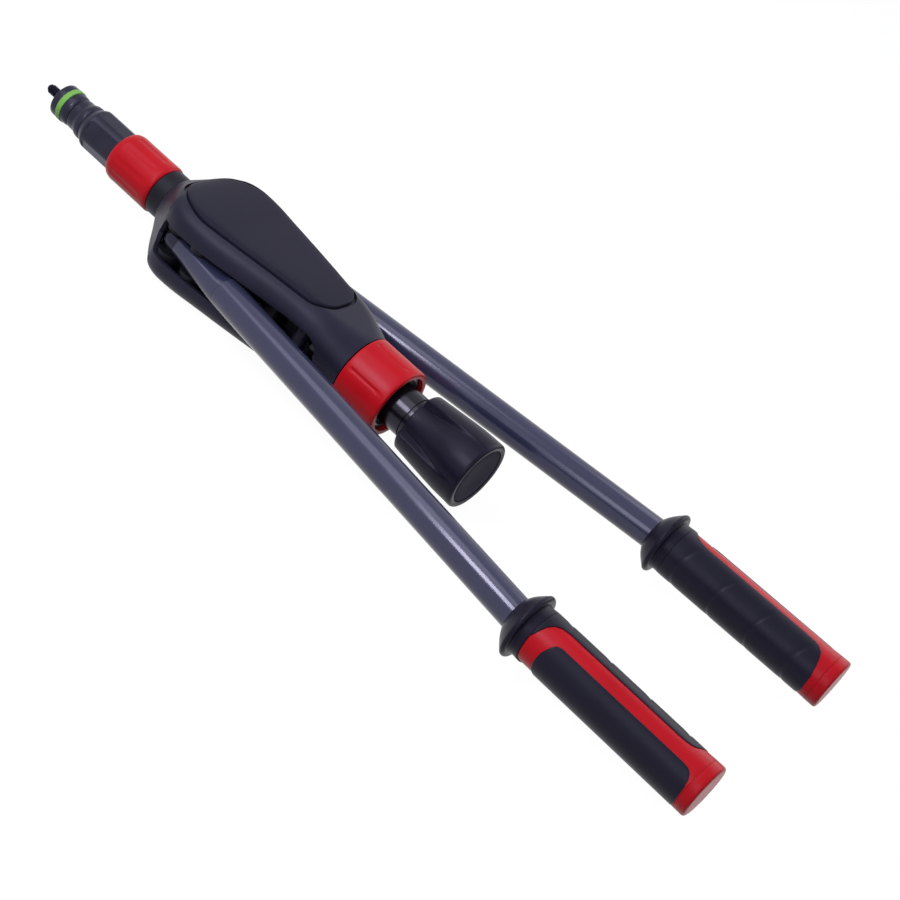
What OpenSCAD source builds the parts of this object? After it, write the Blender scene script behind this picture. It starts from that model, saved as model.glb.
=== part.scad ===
// Two-handed rivet nut tool. X runs back along the tool from the mandrel's tip, Y is to the side
// of the right arm, and Z is square to the plane that the arms swing in. Sizes are in millimetres.

/* [Nose] */
// Front face of the anvil, behind the mandrel's tip
anvil_x = 12.5; // [11:0.5:13.5]
// Radius of the anvil disc
anvil_r = 10.5; // [10:0.1:11]
// Radius of the threaded mandrel, M6
mandrel_r = 3; // [2.5:0.1:3]
// Radius of the nose sleeve
sleeve_r = 13; // [12.6:0.1:13.2]

/* [Front collar] */
// Front edge of the quick-change collar
collar_x = 66.5; // [66:0.1:67]
// Radius of the quick-change collar
collar_r = 15.7; // [15.2:0.1:16.2]
// Number of shallow finger flutes round the collar
collar_flutes = 10; // [8:1:14]

/* [Casing] */
// Front edge of the casing
casing_x = 112; // [111.5:0.1:112.5]
// Back edge of the casing
casing_end = 263.5; // [262.5:0.1:264]
// Half width of the casing over the arm pivots
casing_half_w = 39; // [38.8:0.1:41]
// Half height of the casing
casing_half_h = 25.5; // [25:0.1:27]
// Half height of the side slots that the arms swing in
slot_half = 11; // [10.8:0.1:11.4]
// Height by which the inset panels stand proud
panel_rise = 0.8; // [0.4:0.1:1.2]

/* [Arms] */
// Arm pivots along the tool
pivot_x = 140; // [139.5:0.1:140.5]
// Arm pivots to each side
pivot_y = 27.3; // [27:0.1:27.6]
// Angle that the left arm rests at
left_angle = 7.73; // [7.2:0.01:8.2]
// Angle that the right arm rests at
right_angle = 9.57; // [9:0.01:10]
// Radius of the arm tubes
tube_r = 9.5; // [9.2:0.1:9.6]
// Wall of the arm tubes
tube_wall = 1.9; // [1.5:0.1:2.4]
// Distance from the pivot to the hand flange
flange_at = 305; // [290:1:320]
// Bend of the tube at the flange, towards the tool
grip_bend = 7.5; // [2:0.5:9]

/* [Grips] */
// Length from the flange to the end of the grip
grip_len = 119.5; // [112:0.5:126]
// Radius of the grip
grip_r = 15.6; // [15:0.1:16.5]
// Radius of the hand flange
flange_r = 19.6; // [18.5:0.1:21]
// Distance from one finger groove to the next
finger_pitch = 25.8; // [24:0.1:26.5]

/* [Linkage] */
// Distance from the arm pivot to the link pin
crank = 19; // [18.8:0.1:19.2]
// Length of the links between their holes
link_len = 50; // [49.5:0.1:50.5]
// Draw pins to each side of the tool's axis
draw_pin_y = 14; // [13.8:0.1:14.2]

/* [Back] */
// Front edge of the stroke ring
ring_x = 264; // [264:0.1:264.4]
// Back edge of the stroke ring
ring_end = 294.6; // [294:0.1:295.5]
// Radius of the stroke ring
ring_r = 21.7; // [21.2:0.1:22.2]
// Number of grip grooves round the stroke ring
ring_grooves = 9; // [6:1:12]
// Front of the knob's wings
knob_x = 306.7; // [306.2:0.1:308]
// Back face of the knob
knob_end = 355.2; // [354:0.1:358]
// Radius of the knob at its back
knob_r = 21.8; // [21:0.1:22.5]
// Number of wings on the knob
wings = 3; // [3:1:4]
// Angle that one wing spans
wing_span = 44; // [36:1:50]

/* [Hidden] */

steel_black = [0.10, 0.10, 0.11];
casing_grey = [0.20, 0.19, 0.23];
panel_grey = [0.16, 0.15, 0.19];
signal_red = [0.75, 0.10, 0.14];
slate_blue = [0.36, 0.38, 0.46];
soft_black = [0.09, 0.09, 0.10];
ring_green = [0.45, 0.85, 0.35];
bare_steel = [0.62, 0.62, 0.64];
bronze = [0.70, 0.52, 0.28];

// Fits: radial play of a shaft that turns or slides, and the overlap that a cutter needs
run = 0.05;
cut = 1;
fine = 96;
hull_fine = 32;

// Radii along the draw line
draw_r = 8;
spindle_r = 5;
neck_r = 14.8;
neck_inner_r = 13;
neck_front_r = 12.4;
socket_r = 9.6;
bush_r = 10;
stem_r = 13.2;
tail_r = 15.6;
tail_bore_r = 13.6;

// Places along the tool
sleeve_x = 38;
sleeve_end = 67.4;
stub_end = 85;
neck_x = 67.6;
neck_step_x = 101.9;
collar_end = 101.75;
block_front = 119;
block_end = 129;
draw_end = 268;
tail_x = 238;
tail_end = 290;
stem_x = 274.3;

// Heights of what is stacked on the arm heads: head, links, side plates, pivot pins
head_half = 7;
link_z = 7.3;
link_t = 3;
plate_z = 10.8;
plate_t = 3;
pin_half = 16;
pin_r = 4;
small_pin_r = 3;
small_pin_half = 10.6;
open_hole_r = 4.4;

// Arm heads
head_len = 46;
spigot_len = 28;

// Mean rest place of the links, which the two arms share
mean_angle = (left_angle + right_angle) / 2;
block_x = pivot_x + crank * cos(mean_angle)
    + sqrt(pow(link_len, 2) - pow(pivot_y + crank * sin(mean_angle) - draw_pin_y, 2));

// A round bar on the tool's axis from x0 to x1
module bar(x0, x1, r) {
    translate([x0, 0, 0]) rotate([0, 90, 0]) cylinder(h = x1 - x0, r = r, $fn = fine);
}

// A turned piece: its outline is a list of [place along X, radius], closed down to an inner radius
module turned(points, inner = 0) {
    rotate([0, 90, 0]) rotate_extrude($fn = fine) turned_outline(points, inner);
}

// The same outline swept over part of a turn. Angles run from straight down through +Y
module turned_part(points, inner, from, span) {
    rotate([0, 90, 0]) rotate([0, 0, from]) rotate_extrude(angle = span, $fn = fine)
        turned_outline(points, inner);
}

module turned_outline(points, inner) {
    polygon(concat([[inner, points[0][0]]], [for (p = points) [p[1], p[0]]],
        [[inner, points[len(points) - 1][0]]]));
}

// An upright pin through the plane of the arms
module upright(r, half) {
    translate([0, 0, -half]) cylinder(h = 2 * half, r = r, $fn = fine);
}

// Children on both sides of the tool
module both_sides() {
    children();
    mirror([0, 1, 0]) children();
}

// Cross sections of the casing: place along X, half width, half height, corner radius
sections = [
    [casing_x, 15.6, 15.6, 15.6],
    [126, 30, 22.5, 13],
    [133, 37, 24.5, 12],
    [143, casing_half_w, casing_half_h, 12],
    [168, 37, casing_half_h - 0.5, 12],
    [187, 33.5, casing_half_h - 0.5, 12],
    [205, 30, casing_half_h - 0.5, 12],
    [222, 27, casing_half_h - 0.7, 12.5],
    [243, 25, 23.5, 14],
    [casing_end, 21.4, 21.4, 21.4]];
section_t = 0.02;

// The four round corners of a cross section, standing across the tool
module cross_section(s, grow) {
    a = s[1] + grow;
    b = s[2] + grow;
    r = s[3] + grow;
    translate([s[0], 0, 0]) rotate([90, 0, 90]) linear_extrude(section_t)
        for (y = [-1, 1], z = [-1, 1]) translate([y * (a - r), z * (b - r)]) circle(r = r, $fn = hull_fine);
}

// Outer form of the casing, a smooth loft over its cross sections
module casing_form(grow = 0) {
    hull() for (s = sections) cross_section(s, grow);
}

// Outline of an inset panel in plan: a wide round front, straight sides, a narrow round back
panel_front = [150, 0];
panel_front_r = 31.5;
panel_back = [226, 8];
panel_back_r = 12;
panel_gap = 0.9;
panel_depth = 1.2;
panel_run = panel_back - panel_front;
panel_normal_angle = atan2(panel_run[1], panel_run[0])
    + acos((panel_front_r - panel_back_r) / norm(panel_run));
panel_normal = [cos(panel_normal_angle), sin(panel_normal_angle)];

module panel_prism(grow, up) {
    height = 40;
    translate([0, 0, up ? 0 : -height]) {
        translate(panel_front) cylinder(h = height, r = panel_front_r + grow, $fn = fine);
        both_sides() translate(panel_back) cylinder(h = height, r = panel_back_r + grow, $fn = fine);
        linear_extrude(height) panel_middle(grow);
    }
}

module panel_middle(grow) {
    side = [panel_front, panel_front + (panel_front_r + grow - 0.05) * panel_normal,
        panel_back + (panel_back_r + grow - 0.05) * panel_normal,
        panel_back + [panel_back_r + grow - 0.05, 0]];
    polygon(concat(side, [for (i = [len(side) - 1:-1:1]) [side[i][0], -side[i][1]]]));
}

// Inside of the casing: one hollow for the plates and links, a taller one between the arms
hollow_wide = [[118.95, 13.5], [126, 24], [131, 31], [137, 35], [143, 35.5], [168, 33.5],
    [187, 30], [205, 26.5], [222, 23.5], [240, 21]];
hollow_tall = [[130, 18], [133, 22], [143, 26], [168, 24], [205, 17], [225, 13], [232, 13]];
hollow_wide_half = 14.2;
hollow_tall_half = 21;

module hollow(side, half) {
    translate([0, 0, -half]) linear_extrude(2 * half)
        polygon(concat(side, [for (i = [len(side) - 1:-1:0]) [side[i][0], -side[i][1]]]));
}

// The slot in each side that an arm swings in: from ahead of the pivot to its round back end
slot_back = 237;
slot_floor = 19.5;

module side_slots() {
    both_sides() {
        translate([0, 0, -slot_half]) linear_extrude(2 * slot_half)
            polygon([[126, 20], [133.5, 45], [slot_back, 45], [slot_back, slot_floor]]);
        translate([slot_back, slot_floor, 0]) rotate([-90, 0, 0])
            cylinder(h = 25, r = slot_half, $fn = fine);
    }
}

// Casing screws: places in plan, radii of the screw and its head, depth of the head
screw_places = [[120.5, 19], [176, 13.5], [230, 15]];
screw_r = 2;
screw_head_r = 3.6;
screw_head_z = -12;
boss_r = 4.2;
boss_half = 24;

tail_flange = [244, 248, 19];
plate_screw_x = 124;
plate_screw_y = 9.5;

// One shell of the casing, above or below the plane of the arms
module casing_shell(up) {
    difference() {
        casing_form();
        difference() {
            union() {
                hollow(hollow_wide, hollow_wide_half);
                hollow(hollow_tall, hollow_tall_half);
                side_slots();
                both_sides() translate([pivot_x, pivot_y, 0]) upright(9, 17);
            }
            both_sides() for (p = screw_places) translate([p[0], p[1], 0]) upright(boss_r, boss_half);
        }
        translate([0, 0, up ? -50 : 0]) translate([100, -50, 0]) cube([180, 100, 50]);
        difference() {
            panel_prism(panel_gap, up);
            casing_form(-panel_depth);
        }
        bar(casing_x - cut, 119.5, neck_inner_r + 0.02);
        bar(236, casing_end + cut, tail_r + 0.02);
        bar(tail_flange[0], tail_flange[1], tail_flange[2] + 0.02);
        both_sides() {
            translate([plate_screw_x, plate_screw_y, 0]) upright(5, 17);
            for (p = screw_places) translate([p[0], p[1], 0]) {
                upright(screw_r + 0.02, 12);
                translate([0, 0, -40]) cylinder(h = 40 + screw_head_z, r = screw_head_r + 0.2, $fn = fine);
            }
        }
    }
}

// An inset panel lies in its recess and follows the form of the casing
module panel(up) {
    difference() {
        intersection() {
            casing_form(panel_rise);
            panel_prism(0, up);
        }
        casing_form(-panel_depth);
    }
}

module casing_upper() {
    color(casing_grey) casing_shell(true);
}

module casing_lower() {
    color(casing_grey) casing_shell(false);
}

module top_panel() {
    color(panel_grey) panel(true);
}

module bottom_panel() {
    color(panel_grey) panel(false);
}

module casing_screws() {
    color(steel_black) both_sides() for (p = screw_places) translate([p[0], p[1], 0]) {
        translate([0, 0, screw_head_z]) cylinder(h = 12 - screw_head_z, r = screw_r, $fn = fine);
        translate([0, 0, screw_head_z - 3]) cylinder(h = 3, r = screw_head_r, $fn = fine);
    }
}

// Neck: a socket for the nose at the front, the front bush behind it, and flats for the side plates
module neck_tube() {
    color(steel_black) difference() {
        union() {
            bar(neck_x, neck_step_x, neck_front_r);
            turned([[neck_step_x, neck_r - 0.6], [neck_step_x + 0.6, neck_r],
                [casing_x - 0.6, neck_r], [casing_x, neck_r - 0.6]]);
            bar(casing_x, block_front, neck_inner_r);
            translate([block_front, -12.9, -plate_z]) cube([block_end - block_front, 25.8, 2 * plate_z]);
        }
        bar(neck_x - cut, 102, socket_r);
        bar(102 - cut, block_end + cut, bush_r + 0.01);
        turned([[68.2, 14], [69.4, 14]], 11.6);
        for (k = [0:5]) rotate([60 * k, 0, 0]) translate([80, 0, 5])
            cylinder(h = 10, r = 2.52, $fn = fine);
        both_sides() translate([plate_screw_x, plate_screw_y, 0]) for (z = [-1, 1])
            translate([0, 0, z * plate_z]) upright(2, 3);
    }
}

module bush(x0, x1) {
    color(bronze) difference() {
        bar(x0, x1, bush_r);
        bar(x0 - cut, x1 + cut, draw_r + run);
    }
}

module front_bush() {
    bush(104, 124);
}

module rear_bush() {
    bush(239.5, 257.5);
}

// Tail tube: clamped in the casing by its flange, with the rear bush, and carrying the stroke ring
module tail_tube() {
    color(steel_black) difference() {
        union() {
            bar(tail_x, tail_end, tail_r);
            bar(tail_flange[0], tail_flange[1], tail_flange[2]);
        }
        bar(tail_x - cut, 262, bush_r + 0.01);
        bar(262 - cut, tail_end + cut, tail_bore_r);
        turned([[clip_x, 17], [clip_x + clip_t, 17]], 14.9);
    }
}

// The clip that keeps the stroke ring on the tail tube
clip_x = 266.3;
clip_t = 1.2;

module ring_clip() {
    color(bare_steel) turned([[clip_x, 17.6], [clip_x + clip_t, 17.6]], 14.9);
}

// Side plate: from the flat on the neck out to the two arm pivots
plate_edge = [[119.2, 12.9], [121.5, 12.9], [134.6, 31], [146, 29.5], [151, 21], [152, 12]];
plate_hub_r = 7.5;

module side_plate() {
    color(bare_steel) translate([0, 0, plate_z]) difference() {
        union() {
            linear_extrude(plate_t) polygon(concat(plate_edge,
                [for (i = [len(plate_edge) - 1:-1:0]) [plate_edge[i][0], -plate_edge[i][1]]]));
            both_sides() translate([pivot_x, pivot_y, 0])
                cylinder(h = plate_t, r = plate_hub_r, $fn = fine);
        }
        both_sides() {
            translate([pivot_x, pivot_y, 0]) upright(pin_r + 0.02, 9);
            translate([plate_screw_x, plate_screw_y, 0]) upright(2.6, 9);
        }
        translate([138, 0, 0]) upright(7, 9);
    }
}

module upper_plate() {
    side_plate();
}

module lower_plate() {
    mirror([0, 0, 1]) side_plate();
}

module plate_screws() {
    color(steel_black) both_sides() for (up = [0, 1]) mirror([0, 0, up])
        translate([plate_screw_x, plate_screw_y, 0]) {
            translate([0, 0, plate_z - 2.5]) cylinder(h = 2.5, r = 1.99, $fn = fine);
            translate([0, 0, plate_z]) cylinder(h = plate_t, r = 2.5, $fn = fine);
            translate([0, 0, plate_z + plate_t]) cylinder(h = 2.5, r = 4, $fn = fine);
        }
}

module pivot_pins() {
    color(bare_steel) both_sides() translate([pivot_x, pivot_y, 0]) difference() {
        upright(pin_r, pin_half);
        for (z = [-1, 1]) translate([0, 0, z * 14.5]) difference() {
            upright(5, 0.5);
            upright(3.4, 1);
        }
    }
}

// Clips in the grooves of the pivot pins
module pivot_clips() {
    color(steel_black) both_sides() for (z = [-1, 1]) translate([pivot_x, pivot_y, z * 14.5])
        difference() {
            upright(6.5, 0.49);
            upright(3.41, 1);
        }
}

// Washers that keep the arm heads clear of the side plates
module pivot_washers() {
    color(bronze) both_sides() for (z = [-1, 1]) translate([pivot_x, pivot_y, z * 8.9]) difference() {
        upright(8, 1.8);
        upright(pin_r + 0.05, 3);
    }
}

// Nose sleeve: six wrench flats in front, and a stub with a ball groove that plugs into the neck
module nose_sleeve() {
    color(steel_black) difference() {
        turned([[sleeve_x, 10.9], [sleeve_x + 1.6, 11.6], [sleeve_x + 4, sleeve_r],
            [sleeve_end, sleeve_r], [sleeve_end, 9.5], [77.4, 9.5], [78.2, 8.3], [81.8, 8.3],
            [82.6, 9.5], [stub_end - 0.8, 9.5], [stub_end, 8.8]]);
        bar(sleeve_x - cut, 46, 7.55);
        bar(46 - cut, stub_end + cut, 6.6);
        for (k = [0:5]) rotate([60 * k + 4, 0, 0]) translate([43.5, -10, 12.2]) cube([21, 20, 5]);
    }
}

// Anvil: the hard disc that bears on the rivet nut, a neck for the size ring, and a screwed tail
module anvil() {
    color(steel_black) difference() {
        turned([[anvil_x, anvil_r - 1], [anvil_x + 1, anvil_r], [16, anvil_r], [16.5, anvil_r - 0.4],
            [16.5, 9.5], [22, 9.5], [22, 10.1], [24.6, 10.1], [26.5, 9.3], [26.5, 7.5], [45, 7.5]]);
        bar(anvil_x - cut, 46, mandrel_r + 0.15);
    }
}

module size_ring() {
    color(ring_green) turned([[16.6, 10.2], [17.1, 10.55], [21.4, 10.55], [21.9, 10.2]], 9.52);
}

// Lock nut that holds the anvil at its depth in the nose sleeve
module nose_lock_nut() {
    color(steel_black) turned([[26.6, 9.4], [27.4, 9.8], [32, 10], [34.4, 11.2], [37.4, 11.2],
        [37.95, 10.7]], 7.55);
}

module locking_balls() {
    color(bare_steel) for (k = [0:5]) rotate([60 * k, 0, 0]) translate([80, 0, 10.9])
        sphere(r = 2.5, $fn = 64);
}

module collar_clip() {
    color(bare_steel) turned([[68.2, 13.4], [69.4, 13.4]], 11.6);
}

// Quick-change collar: a cam inside it presses the balls into the nose sleeve or lets them go
module front_collar() {
    color(signal_red) difference() {
        turned([[collar_x, collar_r - 2], [collar_x + 0.8, collar_r - 0.8], [collar_x + 2.2, collar_r - 0.15],
            [collar_x + 4, collar_r], [collar_end - 1.2, collar_r], [collar_end, collar_r - 1]]);
        bar(collar_x - cut, collar_end + cut, neck_front_r + run);
        bar(collar_x - cut, 70.5, 13.6);
        bar(76.8, 83.2, 13.6);
        for (k = [0:collar_flutes - 1]) rotate([360 * k / collar_flutes, 0, 0])
            translate([collar_x + 5, 0, collar_r + 11.4]) rotate([0, 90, 0])
                cylinder(h = 25, r = 12, $fn = fine);
    }
}

// Stroke ring: turning it screws the stop sleeve along the tail tube
module stroke_ring() {
    color(signal_red) difference() {
        turned([[ring_x, ring_r - 0.7], [ring_x + 0.7, ring_r], [ring_end - 1.6, ring_r],
            [ring_end, ring_r - 1.4]]);
        bar(ring_x - cut, 267, tail_r + run);
        bar(266, ring_end + cut, 18.1);
        for (k = [0:ring_grooves - 1]) rotate([360 * k / ring_grooves, 0, 0])
            translate([ring_x + 3, 0, ring_r + 2.1]) rotate([0, 90, 0]) cylinder(h = 30, r = 3, $fn = fine);
    }
}

module stop_sleeve() {
    color(steel_black) turned([[276, 18], [291.4, 18], [292, 17.4]], tail_r + run);
}

// Draw sleeve: slides in both bushes, with a shoulder that the draw block bears on
module draw_sleeve() {
    color(bare_steel) difference() {
        union() {
            bar(100, draw_end, draw_r);
            bar(block_x - 16.1, block_x - 10.1, bush_r);
        }
        bar(99, draw_end + cut, spindle_r + run);
    }
}

// Draw block: a hub on the draw sleeve, with an ear on each side for a draw pin
module draw_block() {
    color(bare_steel) difference() {
        union() {
            bar(block_x - 10.1, block_x + 9.9, 9.2);
            translate([block_x - 6, -draw_pin_y, -head_half]) cube([12, 2 * draw_pin_y, 2 * head_half]);
            both_sides() translate([block_x, draw_pin_y, 0]) upright(6, head_half);
        }
        bar(block_x - 12, block_x + 12, draw_r + 0.01);
        both_sides() translate([block_x, draw_pin_y, 0]) upright(small_pin_r + 0.01, 12);
    }
}

module draw_pins() {
    color(bare_steel) both_sides() translate([block_x, draw_pin_y, 0]) upright(small_pin_r, 11.5);
}

module draw_nut() {
    color(steel_black) difference() {
        translate([block_x + 9.9, 0, 0]) rotate([0, 90, 0]) cylinder(h = 7, r = 12, $fn = 6);
        bar(block_x + 8, block_x + 18, draw_r + 0.01);
    }
}

module thrust_bearing() {
    color(bronze) difference() {
        bar(draw_end + 0.1, stem_x - 0.2, bush_r - 0.4);
        bar(draw_end - cut, stem_x + cut, spindle_r + 0.1);
        turned([[draw_end + 2.6, 11], [draw_end + 3.4, 11]], 8.8);
    }
}

// Spindle: from the coupling through the draw sleeve to the knob
module spindle() {
    color(bare_steel) union() {
        bar(80, 97, 4);
        bar(96, 99.8, 7.5);
        bar(99, 350, spindle_r);
    }
}

// Mandrel: the threaded end that takes the rivet nut, and a thinner shank screwed into the coupling
shank_x = 12.4;
shank_r = mandrel_r - 0.2;
shank_end = 78;

module mandrel() {
    color(steel_black) turned([[0, mandrel_r], [shank_x, mandrel_r], [shank_x, shank_r],
        [shank_end, shank_r]]);
}

module coupling() {
    color(bare_steel) difference() {
        turned([[60, 5.4], [60.8, 6.2], [92, 6.2]]);
        bar(59, 79, shank_r + 0.01);
        bar(78.5, 93, 4.01);
    }
}

// Stem that carries the knob and runs in the tail tube
module knob_stem() {
    color(steel_black) difference() {
        bar(stem_x, knob_x - 1, stem_r);
        bar(stem_x - cut, knob_x + cut, spindle_r + 0.01);
    }
}

// Knob: a core that flares to the back, and wings that stand off the core in front
knob_core = [[knob_x - 1, 13.2], [knob_x, 13.4], [315, 14.2], [325, 16.4], [334, 19], [340, 20.5],
    [346, 21.4], [knob_end - 1.2, knob_r - 0.1], [knob_end, knob_r - 1.3]];
knob_wing = [[knob_x, 16.6], [knob_x + 0.9, 17.6], [325, 20], [343, knob_r],
    [knob_end - 1.2, knob_r], [knob_end, knob_r - 1.2]];
wing_turn = 173.8;

module knob() {
    color(soft_black) difference() {
        union() {
            turned(knob_core);
            for (k = [0:wings - 1])
                turned_part(knob_wing, 5.5, wing_turn - wing_span / 2 + k * 360 / wings, wing_span);
        }
        bar(knob_x - 1 - cut, 345, spindle_r + 0.01);
        bar(344, knob_end + cut, 9.4);
        bar(knob_end - 1.7, knob_end + cut, 17);
    }
}

module knob_nut() {
    color(steel_black) difference() {
        translate([344, 0, 0]) rotate([0, 90, 0]) cylinder(h = 6, r = 9, $fn = 6);
        bar(343, 351, spindle_r + 0.01);
    }
}

module knob_cap() {
    color(soft_black) turned([[knob_end - 1.7, 16.98], [knob_end - 0.3, 16.98], [knob_end, 16.7]]);
}

// Puts a piece of the right (1) or left (-1) arm at its pivot and rest angle
module on_arm(side) {
    mirror([0, side > 0 ? 0 : 1, 0]) translate([pivot_x, pivot_y, 0])
        rotate([0, 0, side > 0 ? right_angle : left_angle]) children();
}

// Puts a piece of a grip behind the bend of its tube
module on_grip(side) {
    on_arm(side) translate([flange_at, 0, 0]) rotate([0, 0, -grip_bend]) children();
}

// Arm head: a flat forged eye for the pivot and the link pin, with a spigot for the tube
module head(side) {
    color(slate_blue) on_arm(side) difference() {
        union() {
            intersection() {
                union() {
                    bar(0, head_len, tube_r);
                    upright(tube_r, head_half);
                }
                translate([-20, -20, -head_half]) cube([head_len + 20, 40, 2 * head_half]);
            }
            bar(head_len - cut, head_len + spigot_len, tube_r - tube_wall - 0.01);
        }
        upright(pin_r + run, 12);
        translate([crank, 0, 0]) upright(small_pin_r + 0.01, 12);
        translate([head_len + 16, 0, 0]) upright(1.61, 12);
    }
}

// A bar that bends at the flange: two straight lengths that end inside a short elbow, which is hidden
// in the flange's hub. The elbow is a little thicker than a tube, or thinner than its bore
bend_r = 60;
elbow_more = 0.7;
bend_gap = 2;

module bent_bar(start, end, r, elbow_r) {
    bend_start = flange_at - bend_r * tan(grip_bend / 2);
    bar(start, flange_at - bend_gap, r);
    translate([bend_start, -bend_r, 0]) rotate([0, 0, 90 - grip_bend])
        rotate_extrude(angle = grip_bend, $fn = fine) translate([bend_r, 0]) circle(r = elbow_r, $fn = fine);
    translate([flange_at, 0, 0]) rotate([0, 0, -grip_bend]) bar(bend_gap, end, r);
}

module tube(side) {
    bore = tube_r - tube_wall;
    color(slate_blue) on_arm(side) difference() {
        bent_bar(head_len + 0.05, grip_len - 8, tube_r, tube_r + elbow_more);
        bent_bar(head_len - cut, grip_len, bore, bore - elbow_more);
        translate([head_len + 16, 0, 0]) upright(1.61, 12);
    }
}

module head_pin(side) {
    color(bare_steel) on_arm(side) translate([head_len + 16, 0, 0]) upright(1.6, tube_r - 0.2);
}

module link_pin(side) {
    color(bare_steel) on_arm(side) translate([crank, 0, 0]) upright(small_pin_r, small_pin_half);
}

// Flange: the dished guard in front of the hand, with a hub round the tube
module flange(side) {
    color(soft_black) on_grip(side) difference() {
        turned([[-4.8, 11.2], [-4.4, 11.6], [-1.8, 12.4], [-1, flange_r - 2.2],
            [0, flange_r - 0.6], [1.4, flange_r], [2.8, flange_r - 0.6], [3.8, flange_r - 2.4],
            [4.4, grip_r + 0.4], [6, grip_r - 0.2], [8, grip_r - 0.2]]);
        bar(-1, 9, tube_r + 0.06);
        bar(-9, 4.2, tube_r + 1.1);
    }
}

// Grip: places along it from the flange, and how deep the soft parts are let in
core_from = 8;
panel_from = 12;
panel_to = 105;
rubber_from = 8.1;
rubber_to = 101;
cap_from = 113;
let_in = 2.4;
panel_angle = 41;
panel_span = 98;
rubber_angle = 183;
rubber_span = 174;
pocket_gap = 0.1;

// Grip core: the hard red shell, with pockets for the outer panel and the finger rubber
module grip_core(side) {
    color(signal_red) on_grip(side) difference() {
        turned([[core_from, grip_r - 0.3], [grip_len / 2, grip_r], [cap_from, grip_r - 0.1]]);
        bar(core_from - cut, cap_from + cut, tube_r + 0.02);
        turned_part([[panel_from - pocket_gap, 20], [panel_to + pocket_gap, 20]], grip_r - let_in,
            panel_angle, panel_span);
        turned_part([[core_from - cut, 20], [rubber_to + pocket_gap, 20]], grip_r - let_in,
            rubber_angle, rubber_span);
    }
}

module grip_panel(side) {
    color(soft_black) on_grip(side)
        turned_part([[panel_from, grip_r - 0.5], [panel_from + 1.5, grip_r + 0.1],
            [grip_len / 2, grip_r + 0.3], [panel_to - 1.5, grip_r + 0.1], [panel_to, grip_r - 0.5]],
            grip_r - let_in + 0.01, panel_angle + 0.4, panel_span - 0.8);
}

// Finger rubber: swells for the fingers, parted by grooves across the grip
groove_at = 14;
groove_depth = 1;
function finger_r(x) = grip_r + 0.4 - groove_depth * pow((1 + cos(360 * (x - groove_at) / finger_pitch)) / 2, 3);

module grip_rubber(side) {
    steps = 48;
    length = rubber_to - rubber_from - 2;
    places = [for (i = [0:steps]) rubber_from + 1 + length * i / steps];
    color(soft_black) on_grip(side)
        turned_part(concat([[rubber_from, grip_r - 0.9]], [for (x = places) [x, finger_r(x)]],
            [[rubber_to, grip_r - 0.9]]),
            grip_r - let_in + 0.01, rubber_angle + 0.4, rubber_span - 0.8);
}

module end_cap(side) {
    color(signal_red) on_grip(side) difference() {
        turned([[cap_from, grip_r - 0.1], [grip_len - 2.2, grip_r], [grip_len - 0.7, grip_r - 0.6],
            [grip_len, grip_r - 2]]);
        bar(cap_from - cut, grip_len - 4, tube_r + 0.02);
    }
}

// Link plates, one above and one below the arm head. The hole at the draw pin has play,
// because the links and the block are driven by fixed ratios
module links(side) {
    angle = side > 0 ? right_angle : left_angle;
    link_dir = asin((pivot_y + crank * sin(angle) - draw_pin_y) / link_len) + angle;
    color(bare_steel) on_arm(side) translate([crank, 0, 0]) rotate([0, 0, -link_dir])
        for (z = [link_z, -link_z - link_t]) translate([0, 0, z]) linear_extrude(link_t) difference() {
            union() {
                circle(r = 6.5, $fn = fine);
                translate([0, -4]) square([link_len, 8]);
                translate([link_len, 0]) circle(r = 7, $fn = fine);
            }
            circle(r = small_pin_r + run, $fn = fine);
            translate([link_len, 0]) circle(r = open_hole_r, $fn = fine);
        }
}

module left_head() { head(-1); }
module left_tube() { tube(-1); }
module left_head_pin() { head_pin(-1); }
module left_link_pin() { link_pin(-1); }
module left_flange() { flange(-1); }
module left_grip_core() { grip_core(-1); }
module left_grip_panel() { grip_panel(-1); }
module left_grip_rubber() { grip_rubber(-1); }
module left_end_cap() { end_cap(-1); }
module right_head() { head(1); }
module right_tube() { tube(1); }
module right_head_pin() { head_pin(1); }
module right_link_pin() { link_pin(1); }
module right_flange() { flange(1); }
module right_grip_core() { grip_core(1); }
module right_grip_panel() { grip_panel(1); }
module right_grip_rubber() { grip_rubber(1); }
module right_end_cap() { end_cap(1); }
module left_links() { links(-1); }
module right_links() { links(1); }

neck_tube();
front_bush();
rear_bush();
tail_tube();
upper_plate();
lower_plate();
plate_screws();
pivot_pins();
pivot_clips();
pivot_washers();
casing_upper();
casing_lower();
top_panel();
bottom_panel();
casing_screws();
nose_sleeve();
anvil();
size_ring();
nose_lock_nut();
locking_balls();
collar_clip();
front_collar();
ring_clip();
stroke_ring();
stop_sleeve();
draw_sleeve();
draw_block();
draw_pins();
draw_nut();
thrust_bearing();
spindle();
mandrel();
coupling();
knob_stem();
knob();
knob_nut();
knob_cap();
left_head();
left_tube();
left_head_pin();
left_link_pin();
left_flange();
left_grip_core();
left_grip_panel();
left_grip_rubber();
left_end_cap();
right_head();
right_tube();
right_head_pin();
right_link_pin();
right_flange();
right_grip_core();
right_grip_panel();
right_grip_rubber();
right_end_cap();
left_links();
right_links();
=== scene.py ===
"""A two-handed rivet nut tool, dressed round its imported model. X runs back along the tool."""
import math

import bmesh
import bpy
from mathutils import Matrix, Vector


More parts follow.
